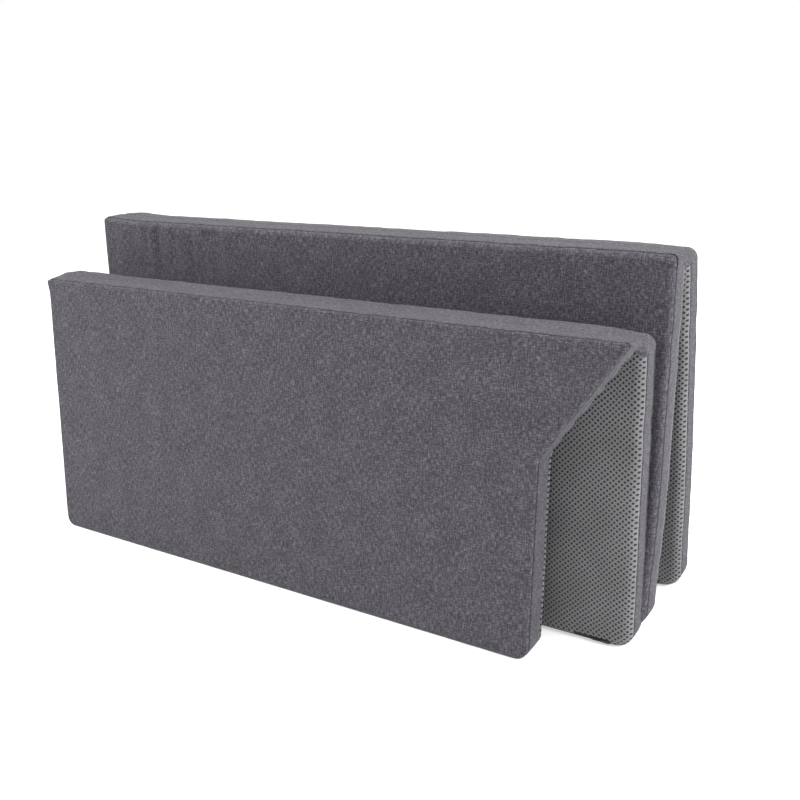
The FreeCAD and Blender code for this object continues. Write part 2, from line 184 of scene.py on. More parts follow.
# corners: the outline's radii, round from the folded end's left corner: fold left, fold right, foot right,
#   foot left. edges: how softly the woven face and the base cloth turn over at their seams.
# crown: how far the woven face stands proud. ripples: place along the folded end, reach and height.
# slump: soft places, each (across, down, reach, move across, move down). tip: how far the far edge sinks.
PANELS = {
    1: {"frame": panel_frame(FRONT_AXIS, LEAN_1, -1), "length": FRONT_LENGTH, "centre": CENTRE_FRONT,
        "cut": True, "corners": (0.006, 0.0052, 0.020, 0.018), "edges": (0.0045, 0.0030),
        "crown": 0.0024, "ripples": (0.0, 0.5, 0.0007), "tip": 0.0,
        "slump": ((-0.525, 0.0, 0.018, -0.006, 0.0), (-0.525, 0.0, 0.350, -0.0075, 0.0))},
    2: {"frame": panel_frame(FRONT_AXIS, 0, 1), "length": FRONT_LENGTH, "centre": CENTRE_FRONT,
        "cut": False, "corners": (0.014, 0.016, 0.026, 0.018), "edges": (0.0050, 0.0115),
        "crown": 0.0010, "ripples": (0.45, 0.12, 0.0006), "tip": 0.0,
        "slump": ((0.525, 0.0, 0.050, 0.0, 0.005), (-0.525, 0.0, 0.060, -0.003, -0.002))},
    3: {"frame": panel_frame(REAR_AXIS, LEAN_3, -1), "length": REAR_LENGTH, "centre": CENTRE_REAR,
        "cut": False, "corners": (0.006, 0.008, 0.036, 0.020), "edges": (0.0090, 0.0045),
        "crown": 0.0010, "ripples": (-0.30, 0.18, 0.0054), "tip": 0.001,
        "slump": ((0.525, 0.0, 0.045, 0.0, 0.001), (-0.525, 0.0, 0.300, -0.012, 0.0),
                  (-0.525, 0.0, 0.045, 0.0, -0.004), (0.525, 0.540, 0.130, -0.006, 0.0))},
    4: {"frame": panel_frame(REAR_AXIS, LEAN_4, 1), "length": REAR_LENGTH, "centre": CENTRE_REAR,
        "cut": False, "corners": (0.009, 0.016, 0.030, 0.022), "edges": (0.0050, 0.0115),
        "crown": 0.0026, "ripples": (0.45, 0.15, 0.0008), "tip": 0.006,
        "slump": ((0.525, 0.0, 0.060, 0.0, 0.003), (-0.525, 0.0, 0.300, -0.012, 0.0),
                  (-0.525, 0.0, 0.045, 0.0, -0.004), (0.525, 0.250, 0.300, 0.004, 0.0))},
}


# ---------------------------------------------------------------- smooth seeded noise
def ease(value):
    """Smoothstep of a value clipped to 0..1."""
    value = np.clip(value, 0, 1)
    return value * value * (3 - 2 * value)


def line_noise(place, size, seed):
    """Smooth noise from -1 to 1 along one coordinate, with bumps about this size."""
    knots = np.random.default_rng(seed).uniform(-1, 1, 4096)
    scaled = np.asarray(place) / size + 1000
    cell = np.floor(scaled).astype(int)
    share = ease(scaled - cell)
    return knots[cell % 4096] * (1 - share) + knots[(cell + 1) % 4096] * share


def plane_noise(across, down, size_across, size_down, seed):
    """Smooth noise from -1 to 1 over two coordinates, with bumps about these sizes."""
    knots = np.random.default_rng(seed).uniform(-1, 1, (512, 512))
    a = np.asarray(across) / size_across + 200
    b = np.asarray(down) / size_down + 200
    cell_a = np.floor(a).astype(int)
    cell_b = np.floor(b).astype(int)
    share_a = ease(a - cell_a)
    share_b = ease(b - cell_b)
    low = (knots[cell_a % 512, cell_b % 512] * (1 - share_a)
           + knots[(cell_a + 1) % 512, cell_b % 512] * share_a)
    high = (knots[cell_a % 512, (cell_b + 1) % 512] * (1 - share_a)
            + knots[(cell_a + 1) % 512, (cell_b + 1) % 512] * share_a)
    return low * (1 - share_b) + high * share_b


# ---------------------------------------------------------------- a panel's outline
def arc(centre, radius, start, end):
    """Points on an arc in (across, down), angles in radians."""
    angles = np.linspace(start, end, CORNER_POINTS)
    return [(centre[0] + radius * math.cos(angle), centre[1] + radius * math.sin(angle))
            for angle in angles]


def rounded(points, radii):
    """A closed polygon with rounded corners, as one list of points per corner arc."""
    arcs = []
    count = len(points)
    for index, (point, radius) in enumerate(zip(points, radii)):
        here = np.array(point)
        back = np.array(points[index - 1]) - here
        ahead = np.array(points[(index + 1) % count]) - here
        back = back / np.linalg.norm(back)
        ahead = ahead / np.linalg.norm(ahead)
        half_angle = math.acos(float(np.clip(back @ ahead, -1, 1))) / 2
        reach = radius / math.tan(half_angle)
        middle = (back + ahead) / np.linalg.norm(back + ahead)
        centre = here + middle * radius / math.sin(half_angle)
        start = here + back * reach - centre
        end = here + ahead * reach - centre
        first = math.atan2(start[1], start[0])
        turn = math.atan2(start[0] * end[1] - start[1] * end[0], float(start @ end))
        arcs.append(arc(centre, radius, first, first + turn))
    return arcs


def sides(panel):
    """The four sides of the outline as dense lines of points, from corner middle to corner middle: the
    folded end (left to right), the right side, the foot (left to right) and the left side (both down)."""
    width = HALF_WIDTH
    length = panel["length"]
    fold_left, fold_right, foot_right, foot_left = panel["corners"]
    if panel["cut"]:
        narrow = width - CUT_WIDTH
        points = [(-width, 0), (width, 0), (narrow, CUT_LENGTH), (narrow, length), (-width, length)]
        arcs = rounded(points, (fold_left, fold_right, CUT_RADIUS, foot_right, foot_left))
        extra = arcs.pop(2)
    else:
        points = [(-width, 0), (width, 0), (width, length), (-width, length)]
        arcs = rounded(points, (fold_left, fold_right, foot_right, foot_left))
        extra = []
    half = CORNER_POINTS // 2
    top_left, top_right, low_right, low_left = arcs
    top = top_left[half:] + top_right[:half + 1]
    right = top_right[half:] + extra + low_right[:half + 1]
    bottom = low_right[half:] + low_left[:half + 1]
    left = low_left[half:] + top_left[:half + 1]
    return [np.array(top), np.array(right), np.array(bottom)[::-1], np.array(left)[::-1]]


def edge_shares(length, step):
    """Shares from 0 to 1 along a side, finer towards both ends."""
    edge = np.array(EDGE_STEPS)
    count = max(4, round((length - 2 * edge[-1]) / step))
    inner = np.linspace(edge[-1], length - edge[-1], count + 1)
    return np.concatenate([edge[:-1], inner, (length - edge[:-1])[::-1]]) / length


def run_lengths(points, closed=False):
    """How far along a line each of its points lies; a closed line ends where it starts."""
    if closed:
        points = np.concatenate([points, points[:1]])
    return np.concatenate([[0], np.cumsum(np.linalg.norm(np.diff(points, axis=0), axis=1))])


def along(points, shares):
    """Points at these shares of a line's length."""
    steps = run_lengths(points)
    wanted = shares * steps[-1]
    return np.stack([np.interp(wanted, steps, points[:, axis]) for axis in (0, 1)], axis=-1)


# ---------------------------------------------------------------- a panel's closed pad
FACE, BOXING, BASE = 0, 1, 2              # a pad's parts
CORNER_POINTS = 17                        # on each rounded corner of the outline
CUT_RADIUS = 0.028                        # of the blunt corner where panel 1's cut meets its side
SEAM_LIP = 0.55                           # how much of the seam's colour its lips have: the dark thread and the painted shade of its groove
SHOULDER_TURNS = (0, 25, 50, 75)          # degrees round the soft edge of a face
SIDE_BELOW = ((0.0006, 0.0006), (0.0044, 0.0021), (0.0006, 0.0036), (0.0001, 0.0056), (0.0, 0.0095))
SEAM_RING = 5                             # counted from a face: the deepest ring of the seam's groove


def face_rings(radius):
    """Rings from a face over its rounded edge and the seam's groove to the boxing: (inset, depth)."""
    rings = []
    for turn in SHOULDER_TURNS:
        angle = math.radians(turn)
        rings.append((radius * (1 - math.sin(angle)), radius * (1 - math.cos(angle))))
    drop = rings[-1][1]
    return rings + [(inset, drop + below) for inset, below in SIDE_BELOW]


def all_rings(panel):
    """The rings of the whole side as (inset, deep), from the woven face to the base cloth."""
    upper = [(inset, PAD - below) for inset, below in face_rings(panel["edges"][0])]
    lower = [(inset, below) for inset, below in face_rings(panel["edges"][1])[::-1]]
    return upper + [(0.0, (upper[-1][1] + lower[0][1]) / 2)] + lower


def coons(top, bottom, left, right):
    """A grid of points between four sides that meet at their ends."""
    u = np.linspace(0, 1, len(top))[None, :, None]
    v = np.linspace(0, 1, len(left))[:, None, None]
    ruled_down = (1 - v) * top[None] + v * bottom[None]
    ruled_across = (1 - u) * left[:, None] + u * right[:, None]
    corners = ((1 - u) * (1 - v) * top[0] + u * (1 - v) * top[-1]
               + (1 - u) * v * bottom[0] + u * v * bottom[-1])
    return ruled_down + ruled_across - corners


def pad_parts(panel, step):
    """The closed pad: vertices (across, down, deep), faces, each face's part, each corner's texture place,
    the vertices on the seams, and how deep in a seam each vertex is, as its share of the seam's dark thread
    and painted groove shade."""
    top, right, bottom, left = sides(panel)
    width_shares = edge_shares(2 * HALF_WIDTH, step)
    length_shares = edge_shares(panel["length"], step)
    top, bottom = along(top, width_shares), along(bottom, width_shares)
    left, right = along(left, length_shares), along(right, length_shares)
    loop = np.concatenate([top[:-1], right[:-1], bottom[::-1][:-1], left[::-1][:-1]])
    tangent = np.roll(loop, -1, axis=0) - np.roll(loop, 1, axis=0)
    tangent /= np.linalg.norm(tangent, axis=1)[:, None]
    normal = np.stack([-tangent[:, 1], tangent[:, 0]], axis=-1)
    count = len(loop)
    places = run_lengths(loop, closed=True)
    columns = len(top)
    rows = len(left)

    vertices = []
    faces = []
    parts = []
    texture = []
    rings = all_rings(panel)
    ring_count = len(rings)
    base_seam_ring = ring_count - 1 - SEAM_RING
    sunk = []
    for ring, (inset, deep) in enumerate(rings):
        points = loop + normal * inset
        vertices.append(np.column_stack([points, np.full(count, deep)]))
        # the seam rings are marked for their dark thread and painted groove shade; the lips beside them get
        # part of it
        away = min(abs(ring - SEAM_RING), abs(ring - base_seam_ring))
        sunk.append(np.full(count, (1.0, SEAM_LIP, 0.0)[min(away, 2)]))
    for ring in range(ring_count - 1):
        part = BOXING if SEAM_RING <= ring < base_seam_ring else (FACE if ring < SEAM_RING else BASE)
        for index in range(count):
            after = (index + 1) % count
            faces.append((ring * count + index, ring * count + after,
                          (ring + 1) * count + after, (ring + 1) * count + index))
            parts.append(part)
            if part == BOXING:
                start, end = places[index], places[index + 1]
                upper, lower = rings[ring][1], rings[ring + 1][1]
                texture.append(((start, upper), (end, upper), (end, lower), (start, lower)))
            else:
                texture.append(None)

    total = ring_count * count
    first, second = columns - 1, columns - 1 + rows - 1
    third = second + columns - 1
    border = np.arange(count)
    lines = (border[:columns], border[second:second + columns][::-1],
             np.append(border[third:], border[0])[::-1], border[first:first + rows])
    for ring, part in ((0, FACE), (ring_count - 1, BASE)):
        grid = coons(*(vertices[ring][line, :2] for line in lines))
        ids = np.zeros((rows, columns), dtype=int)
        ids[0], ids[-1], ids[:, 0], ids[:, -1] = (line + ring * count for line in lines)
        inner = grid[1:-1, 1:-1].reshape(-1, 2)
        ids[1:-1, 1:-1] = (total + np.arange(len(inner))).reshape(rows - 2, columns - 2)
        total += len(inner)
        vertices.append(np.column_stack([inner, np.full(len(inner), rings[ring][1])]))
        sunk.append(np.zeros(len(inner)))
        for row in range(rows - 1):
            for column in range(columns - 1):
                faces.append((ids[row, column], ids[row, column + 1],
                              ids[row + 1, column + 1], ids[row + 1, column]))
                parts.append(part)
                texture.append(None)
    vertices = np.concatenate(vertices)
    for index, face in enumerate(faces):
        if texture[index] is None:
            texture[index] = [tuple(vertices[corner][:2]) for corner in face]
    seams = np.concatenate([np.arange(count) + ring * count for ring in (SEAM_RING, base_seam_ring)])
    return vertices, faces, parts, texture, seams, np.concatenate(sunk)


def mesh_object(name, vertices, faces, parts=None, texture=None):
    """A mesh object with smooth faces, each face's part as its material index, and texture places."""
    mesh = bpy.data.meshes.new(name)
    rings = [tuple(int(corner) for corner in face) for face in faces]
    mesh.from_pydata([tuple(vertex) for vertex in vertices], [], rings)
    mesh.polygons.foreach_set("use_smooth", [True] * len(mesh.polygons))
    if parts is not None:
        for _ in range(3):
            mesh.materials.append(None)
        mesh.polygons.foreach_set("material_index", parts)
    if texture is not None:
        layer = mesh.uv_layers.new(name="cloth")
        flat = [value for face in texture for place in face for value in place]
        layer.data.foreach_set("uv", flat)
    mesh.update()
    item = bpy.data.objects.new(name, mesh)
    bpy.context.scene.collection.objects.link(item)
    return item


def read_points(mesh, field="co"):
    """A mesh's vertices, or their normals, as an array."""
    values = np.empty(len(mesh.vertices) * 3)
    mesh.vertices.foreach_get(field, values)
    return values.reshape(-1, 3)


def write_points(mesh, points):
    """Move a mesh's vertices."""
    mesh.vertices.foreach_set("co", np.ascontiguousarray(points).ravel())
    mesh.update()


def baked(item):
    """Replace an object's mesh by what its modifiers make of it."""
    graph = bpy.context.evaluated_depsgraph_get()
    mesh = bpy.data.meshes.new_from_object(item.evaluated_get(graph), preserve_all_data_layers=True,
                                           depsgraph=graph)
    item.modifiers.clear()
    item.data = mesh
    mesh.polygons.foreach_set("use_smooth", [True] * len(mesh.polygons))
    return mesh


def inflate(item, pinned):
    """Blow the pad up like a cushion: pressure from inside, slack cloth, and the seams held."""
    group = item.vertex_groups.new(name="seams")
    group.add([int(index) for index in pinned], 1.0, "REPLACE")
    cloth = item.modifiers.new("inflate", "CLOTH")
    settings = cloth.settings
    settings.quality = 3
    settings.mass = 0.25
    settings.tension_stiffness = 18
    settings.compression_stiffness = 12
    settings.shear_stiffness = 6
    settings.bending_stiffness = 0.4
    settings.use_pressure = True
    settings.uniform_pressure_force = 4
    settings.shrink_min = -0.010
    settings.vertex_group_mass = "seams"
    settings.effector_weights.gravity = 0
    cloth.collision_settings.use_collision = False
    cloth.collision_settings.use_self_collision = False
    cloth.point_cache.frame_start = 1
    cloth.point_cache.frame_end = CLOTH_FRAMES
    scene = bpy.context.scene
    for step in range(1, CLOTH_FRAMES + 1):
        scene.frame_set(step)
    baked(item)
    scene.frame_set(1)


def subdivide(item):
    """One level of smoothing subdivision."""
    modifier = item.modifiers.new("smooth", "SUBSURF")
    modifier.levels = 1
    modifier.render_levels = 1
    modifier.uv_smooth = "NONE"
    return baked(item)


def to_world(panel, points):
    """From a panel's own (across, down, deep) to the shared frame."""
    base, down, deep = panel["frame"]
    section = base + points[:, 1:2] * down + points[:, 2:3] * deep
    return np.column_stack([panel["centre"] + points[:, 0], section])


def to_ground(panel, world, local):
    """Bring a leaning panel's foot down flat on the floor, and keep every panel off it by a hair."""
    base, down, deep = panel["frame"]
    foot_height = base[1] + panel["length"] * down[1] + local[:, 2] * deep[1]
    share = ease((local[:, 1] - panel["length"] + FOOT_BEND) / FOOT_BEND)
    world[:, 2] -= np.maximum(foot_height, 0) * share
    world[:, 2] = np.maximum(world[:, 2], FLOOR_SKIN)
    return world


def right_side(panel, down):
    """Where a panel's right side lies, at places down the panel."""
    narrowing = np.clip(down / CUT_LENGTH, 0, 1) if panel["cut"] else 0 * down
    return HALF_WIDTH - CUT_WIDTH * narrowing


def gathers_along(places, seed):
    """Small gathers along a seam, in two sizes."""
    return sum(GATHER_SHARE * line_noise(places, size, seed + index)
               for index, size in enumerate(GATHER_SIZES))


def fade(distance, reach):
    """1 at a line, falling off away from it."""
    return np.exp(-np.maximum(distance, 0) / reach)


def cloth_relief(number, panel, points):
    """How far the cloth stands proud of the pad at each point of a face, in metres."""
    across, down = points[:, 0], points[:, 1]
    length = panel["length"]
    seed = 40 * number
    ends = fade(down, GATHER_TOP) + fade(length - down, GATHER_FOOT)
    flanks = fade(across + HALF_WIDTH, GATHER_SIDE) + fade(right_side(panel, down) - across, GATHER_SIDE)
    relief = GATHER * gathers_along(across, seed) * ends + GATHER * gathers_along(down, seed + 2) * flanks
    for index, (height, size_across, size_down) in enumerate(SOFT_DENTS):
        relief += height * plane_noise(across, down, size_across, size_down, seed + 5 + index)
    place, reach, height = panel["ripples"]
    lean = RIPPLE_LEAN * down * line_noise(across, RIPPLE_DRIFT, seed + 8)
    ripple = line_noise(across + lean, RIPPLE_SIZE, seed + 7)
    strength = np.exp(-((across - place) / reach) ** 2) * fade(down, RIPPLE_REACH)
    return relief + height * ripple * strength * ease(down / RIPPLE_START)


def on_faces(points):
    """Which points lie on the woven face or the base, not on the side."""
    return (points[:, 2] > PAD - 1e-5) | (points[:, 2] < 1e-5)


def settle(panel, points, simulated):
    """The pad as the foam holds it: the simulated swelling, scaled to the room that the folds leave."""
    outward = np.where(points[:, 2] > PAD / 2, 1.0, -1.0)
    lift = (simulated[:, 2] - points[:, 2]) * outward
    on_face = on_faces(points)
    full = np.percentile(lift[on_face], FULL_SWELL)
    share = np.clip(lift / max(full, 1e-4), SWELL_LOW, SWELL_HIGH)
    crown = np.where(outward > 0, panel["crown"], BASE_CROWN)
    settled = points.copy()
    settled[:, 2] += outward * crown * share * np.where(on_face, 1.0, SHOULDER_SWELL)
    sideways = simulated[:, :2] - points[:, :2]
    settled[:, :2] += np.clip(sideways * SIDEWAYS_SHARE, -SIDE_CAP, SIDE_CAP)
    return settled


def wave_along(places, seed):
    """The slow wander of a seam, a long wave and a short one."""
    return line_noise(places, LONG_WAVE, seed) + SHORT_WAVE_SHARE * line_noise(places, SHORT_WAVE, seed + 1)


def slump(panel, points):
    """Soft corners that droop or stand out a little from the pad's straight outline."""
    moved = points.copy()
    for across, down, reach, move_across, move_down in panel["slump"]:
        away = ((points[:, 0] - across) ** 2 + (points[:, 1] - down) ** 2) / reach ** 2
        weight = np.exp(-away)
        moved[:, 0] += move_across * weight
        moved[:, 1] += move_down * weight
    sink = ease(points[:, 2] / PAD) * np.exp(-(np.maximum(points[:, 1], 0) / TIP_REACH) ** 2)
    moved[:, 1] += panel["tip"] * sink
    top_wave = wave_along(points[:, 0], WAVE_SEED) + WAVE_IN
    moved[:, 1] += SEAM_WAVE * top_wave * fade(points[:, 1], WAVE_REACH)
    from_right = fade(right_side(panel, points[:, 1]) - points[:, 0], WAVE_REACH)
    moved[:, 0] += SEAM_WAVE * (wave_along(points[:, 1], WAVE_SEED + 2) - WAVE_IN) * from_right
    return moved


def face_outward(item):
    """Turn a closed mesh's faces outwards."""
    work = bmesh.new()
    work.from_mesh(item.data)
    bmesh.ops.recalc_face_normals(work, faces=work.faces)
    work.to_mesh(item.data)
    work.free()


def solid(name, vertices, faces, texture=None):
    """A closed object with its faces turned outwards."""
    item = mesh_object(name, vertices, faces, texture=texture)
    face_outward(item)
    return item


def make_pad(number, panel):
    """The padded cover of one panel, in its own coordinates, simulated, subdivided and wrinkled."""
    vertices, faces, parts, texture, seams, sunk = pad_parts(panel, FACE_STEP)
    item = mesh_object(f"cover_{number}", vertices, faces, parts, texture)
    # the mark for the seams' dark thread and painted groove shade, read by the woven cloth's colour
    item.data.attributes.new("sunk", "FLOAT", "POINT").data.foreach_set("value", sunk)
    face_outward(item)
    inflate(item, seams)
    simulated = read_points(item.data)
    item.vertex_groups.clear()
    write_points(item.data, settle(panel, vertices, simulated))
    subdivide(item)
    points = read_points(item.data)
    towards = np.where(points[:, 2] > PAD / 2, 1.0, -1.0)
    near_face = ease((np.abs(points[:, 2] - PAD / 2) - PAD / 2 + RELIEF_EDGE) / RELIEF_EDGE)
    relief = cloth_relief(number, panel, points)
    points[:, 2] += towards * relief * near_face * np.where(towards > 0, 1.0, BASE_RELIEF)
    points = slump(panel, points)
    write_points(item.data, to_ground(panel, to_world(panel, points), points))
    face_outward(item)
    return item


def polygons_of(mesh, part):
    """The polygons of one part of a pad."""
    return [polygon for polygon in mesh.polygons if polygon.material_index == part]


def make_base_cloth(number, cover):
    """The dotted cloth: a thin sheet over the cover's base side, turned in at the base seam."""
    mesh = cover.data
    normals = read_points(mesh, "normal")
    points = read_points(mesh)
    layer = mesh.uv_layers["cloth"].data
    ids = {}
    outer = []
    inner = []
    faces = []
    texture = []
    edges = {}
    for polygon in polygons_of(mesh, BASE):
        corners = []
        places = []
        for loop in polygon.loop_indices:
            vertex = mesh.loops[loop].vertex_index
            if vertex not in ids:
                ids[vertex] = len(ids)
                outer.append(points[vertex] + normals[vertex] * BASE_PROUD)
                inner.append(points[vertex] + normals[vertex] * BASE_UNDER)
            corners.append(ids[vertex])
            places.append(tuple(layer[loop].uv))
        faces.append(tuple(corners))
        texture.append(places)
        for index, corner in enumerate(corners):
            pair = (corner, corners[(index + 1) % len(corners)])
            edges[pair] = (places[index], places[(index + 1) % len(corners)])
    total = len(outer)
    under = [tuple(corner + total for corner in face[::-1]) for face in faces]
    under_texture = [places[::-1] for places in texture]
    rim = []
    rim_texture = []
    for (first, second), (place_first, place_second) in edges.items():
        if (second, first) not in edges:
            rim.append((second, first, first + total, second + total))
            rim_texture.append((place_second, place_first, place_first, place_second))
    everything = np.concatenate([np.array(outer), np.array(inner)])
    everything[:, 2] = np.maximum(everything[:, 2], FLOOR_SKIN / 2)
    return mesh_object(f"base_cloth_{number}", everything, faces + under + rim,
                       texture=texture + under_texture + rim_texture)


def make_core(number, panel):
    """The foam core, a rounded block a few millimetres inside the cover."""
    vertices, faces, _, texture, _, _ = pad_parts(panel, CORE_STEP)
    middle = np.array([0, panel["length"] / 2, PAD / 2])
    half = np.array([HALF_WIDTH, panel["length"] / 2, PAD / 2])
    shrunk = middle + (vertices - middle) * (1 - CORE_INSET / half)
    if panel["cut"]:
        shrunk[:, 0] -= CORE_INSET * np.clip((vertices[:, 0] - CORE_CUT_FROM) / CORE_CUT_REACH, 0, 1)
    world = to_world(panel, slump(panel, shrunk))
    world[:, 2] = np.maximum(world[:, 2], 2 * FLOOR_SKIN)
    return solid(f"foam_{number}", world, faces, texture)


# ---------------------------------------------------------------- fold webs
# Half of a top fold web's section: (depth into the panel, height over the panel's outline).
WEB_OUTER = ((0.0400, -0.0014), (0.0385, 0.0003), (0.0340, 0.0008), (0.0240, 0.0010), (0.0150, 0.0011),
             (0.0090, 0.0014), (0.0050, 0.0015), (0.0018, 0.0010))
WEB_INNER = ((-0.0007, -0.0052), (-0.0006, -0.0042), (0.0004, -0.0030), (0.0020, -0.0014),
             (0.0045, 0.0001), (0.0090, 0.0006), (0.0150, 0.0003), (0.0380, -0.0004))
FLOOR_WEB = ((0.0004, 0.0130), (0.0006, 0.0060), (0.0009, 0.0022), (0.0012, 0.0008))    # (offset, height)
FLOOR_WEB_SPLAY = 0.0004 / 0.013   # how the floor web's far side follows panel 3's lean
FLOOR_WEB_SHORT = 0.014      # the floor web ends this far from the sides
WEB_THICK = 0.0006
WEB_PUCKER = 0.00035
WEB_PUCKER_SIZES = (0.017, 0.055)
WEB_CLOSE = 0.004            # past its tails, a top web takes this much more to reach its full height
PLUG_END = 0.22              # share of the web's inner depth at the ends,
PLUG_REACH = 0.030           # which grows to the whole over this length
RISE_REACH = 0.050           # width of the ear at a top web's left end,
RISE_PLACE = 0.020           # and its middle's distance from that end
FRONT_RISE = 0.009           # its height on the front fold
REAR_RISE = 0.001            # and on the rear one
TOP_BEND = 0.006             # half the width over which a top web turns from one panel to the next
FLOOR_BEND = 0.0012          # the same on the floor
WEB_STEP = 0.004
WEB_TAIL = 0.012             # how far the top webs run down the panels' sides
TAIL_EXTRA = 0.005           # and on, round the corner from the folded end
TAIL_POINTS = 12
CROWN_LINE = 5               # the point of a web's section that is followed for the texture's places
DEEP_FROM = 0.015            # deeper than this, a top web's section stretches with the panel's seam
SKIN_DEPTH = 0.006           # this near the fold, its ends thin less
SKIN_THIN = 0.35             # by this share
END_SINK = 0.0007            # how far its skin sinks at the ends
SKIN_LOW = -0.0004           # lower than this lies the web's inside, not its skin
PUCKER_ZONE = (0.001, 0.036, 0.0007)     # puckers and the ear lie between these depths, above this height
PUCKER_FALL = 0.022          # and fade away from the fold over this depth
WEB_SEED = 901


def swept(rings, places, heights):
    """Vertices, faces and texture of a strip swept from one ring of points per column, still open at both
    ends. The texture runs over the places along the strip and the heights round a ring."""
    count = len(rings[0])
    vertices = [tuple(point) for ring in rings for point in ring]
    faces = []
    texture = []
    for column in range(len(rings) - 1):
        start, end = places[column], places[column + 1]
        for index in range(count):
            after = (index + 1) % count
            faces.append((column * count + index, column * count + after,
                          (column + 1) * count + after, (column + 1) * count + index))
            low, high = heights[index], heights[index + 1]
            texture.append(((start, low), (start, high), (end, high), (end, low)))
    return vertices, faces, texture


def close_ends(vertices, faces, texture, first, last):
    """Lay quads across both ends of a swept strip, given the texture places of its first and last ring."""
    count = len(first)
    for start, ring_places in ((0, first), (len(vertices) - count, last)):
        for index in range(count // 2 - 1):
            corners = (index, index + 1, count - 2 - index, count - 1 - index)
            faces.append(tuple(start + corner for corner in corners))
            texture.append([ring_places[corner] for corner in corners])


def make_web(name, columns):
    """A fold web from one section per column, with its texture along its crown."""
    rings = np.array(columns)
    middle_section = rings[len(rings) // 2][:, 1:]
    places = run_lengths(rings[:, CROWN_LINE])
    vertices, faces, texture = swept(rings, places, run_lengths(middle_section, closed=True))
    close_ends(vertices, faces, texture, rings[0][:, 1:], rings[-1][:, 1:])
    return solid(name, vertices, faces, texture)


def path_over_top(panel, count):
    """Points and outward normals along a panel's outline, from a little way down its left side, over the
    folded end, to a little way down its right side."""
    top, right, _, left = sides(panel)

    def upper(side):
        return along(side, np.linspace(0, (WEB_TAIL + TAIL_EXTRA) / run_lengths(side)[-1], TAIL_POINTS))

    line = np.concatenate([upper(left)[::-1][:-1], top, upper(right)[1:]])
    points = along(line, np.linspace(0, 1, count))
    tangent = np.gradient(points, axis=0)
    tangent /= np.linalg.norm(tangent, axis=1)[:, None]
    outward = np.stack([tangent[:, 1], -tangent[:, 0]], axis=-1)
    return points, outward


def make_top_web(name, first, second, left_rise):
    """The cloth over a top fold, from one panel's far seam to the other's, and down between their base
    cloths; at both ends it turns down the panels' sides and draws them together."""
    count = int(2 * HALF_WIDTH / WEB_STEP)
    profiles = ((first, WEB_OUTER), (second, WEB_OUTER[::-1]),
                (second, WEB_INNER[::-1]), (first, WEB_INNER))
    far_first = PAD - face_rings(first["edges"][0])[SEAM_RING][1]
    far_second = PAD - face_rings(second["edges"][0])[SEAM_RING][1]
    blocks = []
    for (panel, profile), far in zip(profiles, (far_first, far_second, far_second, far_first)):
        points, outward = path_over_top(panel, count)
        share = np.linspace(0, 1, count)
        from_end = np.minimum(share, 1 - share) * 2 * HALF_WIDTH
        tail = ease(from_end / (WEB_TAIL + WEB_CLOSE))
        plug = PLUG_END + (1 - PLUG_END) * ease((from_end - WEB_TAIL - WEB_CLOSE) / PLUG_REACH)
        puckers = sum(WEB_PUCKER * line_noise(points[:, 0], size, WEB_SEED + index)
                      for index, size in enumerate(WEB_PUCKER_SIZES))
        lift = left_rise * np.exp(-((points[:, 0] + HALF_WIDTH - RISE_PLACE) / RISE_REACH) ** 2)
        block = []
        for depth, height in profile:
            deep = depth * far / WEB_OUTER[0][0] if depth > DEEP_FROM else depth
            thin = 1 - (1 - tail) * (1.0 if depth > SKIN_DEPTH else SKIN_THIN)
            raised = height * thin - END_SINK * (1 - thin) if height > SKIN_LOW else height * plug
            if PUCKER_ZONE[0] < depth < PUCKER_ZONE[1] and height > PUCKER_ZONE[2]:
                raised = raised + (puckers + lift) * math.exp(-(depth / PUCKER_FALL) ** 2) * tail
            flat = points + outward * raised[:, None]
            local = slump(panel, np.column_stack([flat, np.full(count, deep)]))
            block.append(to_world(panel, local))
        blocks.append(np.array(block))
    return make_web(name, np.concatenate(blocks).transpose(1, 0, 2))


def make_floor_web(name):
    """The strip that hinges panels 2 and 3 at the floor, a shallow U between their woven faces."""
    outer = [(FLOOR_AXIS[0] - offset - WEB_THICK, height + FLOOR_SKIN) for offset, height in FLOOR_WEB]
    inner = [(y + WEB_THICK, z + WEB_THICK) for y, z in outer]

    def mirrored(points):
        return [(2 * FLOOR_AXIS[0] - y + FLOOR_WEB_SPLAY * z, z) for y, z in points]

    section = np.array(outer + mirrored(outer[::-1]) + mirrored(inner) + inner[::-1])
    length = 2 * (HALF_WIDTH - FLOOR_WEB_SHORT)
    columns = []
    for place in np.linspace(-length / 2, length / 2, int(length / (2 * WEB_STEP))):
        columns.append(np.column_stack([np.full(len(section), place), section]))
    return make_web(name, columns)


# ---------------------------------------------------------------- zips, hems and sliders
STRIP_STEP = 0.006           # mesh spacing along a strip
RAY_START = 0.03             # the search for the base cloth starts this far outside it
TAPE_SECTION = ((-0.0036, 0.0001), (-0.0034, 0.0004), (-0.0012, 0.0005), (0.0012, 0.0005), (0.0034, 0.0004),
                (0.0036, 0.0001), (0.0036, -0.0006), (-0.0036, -0.0006))      # (offset, height)
ZIP_STOP = 0.001             # the teeth end this far from the tape's ends
TOOTH_PITCH = 0.0021
TOOTH_OFFSET = 0.0007        # every other tooth sits to this side of the middle
TOOTH_LIFT = 0.0006
TOOTH_HALF = (0.0013, 0.0006, 0.0004)
FLAP_TOP = ((-0.0066, 0.0001), (-0.0052, 0.0008), (-0.0032, 0.0012), (-0.0014, 0.0012), (-0.0004, 0.0010))
FLAP_THICK = 0.0003
FLAP_SHORT = 0.050           # the hem ends this far from the slider's end of the zip
